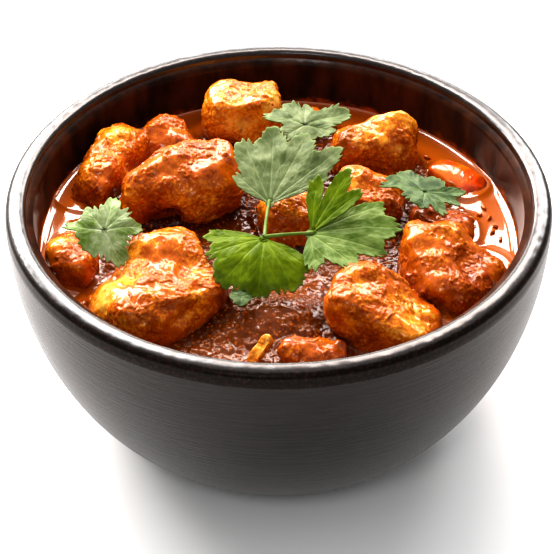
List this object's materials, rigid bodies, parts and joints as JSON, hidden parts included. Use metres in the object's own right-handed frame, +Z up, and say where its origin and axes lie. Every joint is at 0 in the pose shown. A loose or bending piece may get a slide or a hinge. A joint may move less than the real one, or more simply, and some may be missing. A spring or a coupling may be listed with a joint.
{
  "type": "bowl of chicken curry",
  "caption": "Round dark stoneware bowl filled with chunks of chicken in a thick orange-brown curry sauce, topped with coriander leaves.",
  "frame": {"origin": "middle of the flat base of the bowl", "axes": "+Z up along the bowl's axis; the side that shows best faces -Y, with +X to its right"},
  "size_m": [0.15, 0.15, 0.0834],
  "materials": {
    "stoneware": "dark brown stoneware, matte brushed side, glossy glazed lip and inside",
    "curry_sauce": "wet oily curry sauce, strong highlights",
    "chicken_in_sauce": "chicken coated in orange-brown sauce, wet, with paler yellow meat showing",
    "tomato": "soft red-orange cooked tomato or pepper, wet",
    "coriander": "fresh green leaf, satin, veined"
  },
  "bodies": {
    "root": {"bowl": "stoneware", "chicken_back": "chicken_in_sauce", "chicken_back_left": "chicken_in_sauce", "chicken_back_right": "chicken_in_sauce", "chicken_back_tip": "chicken_in_sauce", "chicken_centre": "chicken_in_sauce", "chicken_centre_right": "chicken_in_sauce", "chicken_front": "chicken_in_sauce", "chicken_front_left": "chicken_in_sauce", "chicken_front_right": "chicken_in_sauce", "chicken_left": "chicken_in_sauce", "chicken_left_behind": "chicken_in_sauce", "chicken_left_small": "chicken_in_sauce", "chicken_right": "chicken_in_sauce", "chicken_right_low": "chicken_in_sauce", "chicken_shred": "chicken_in_sauce", "coriander_back": "coriander", "coriander_front": "coriander", "coriander_left": "coriander", "coriander_right": "coriander", "coriander_sprig": "coriander", "sauce": "curry_sauce", "tomato_wedge": "tomato"}
  },
  "joints": []
}
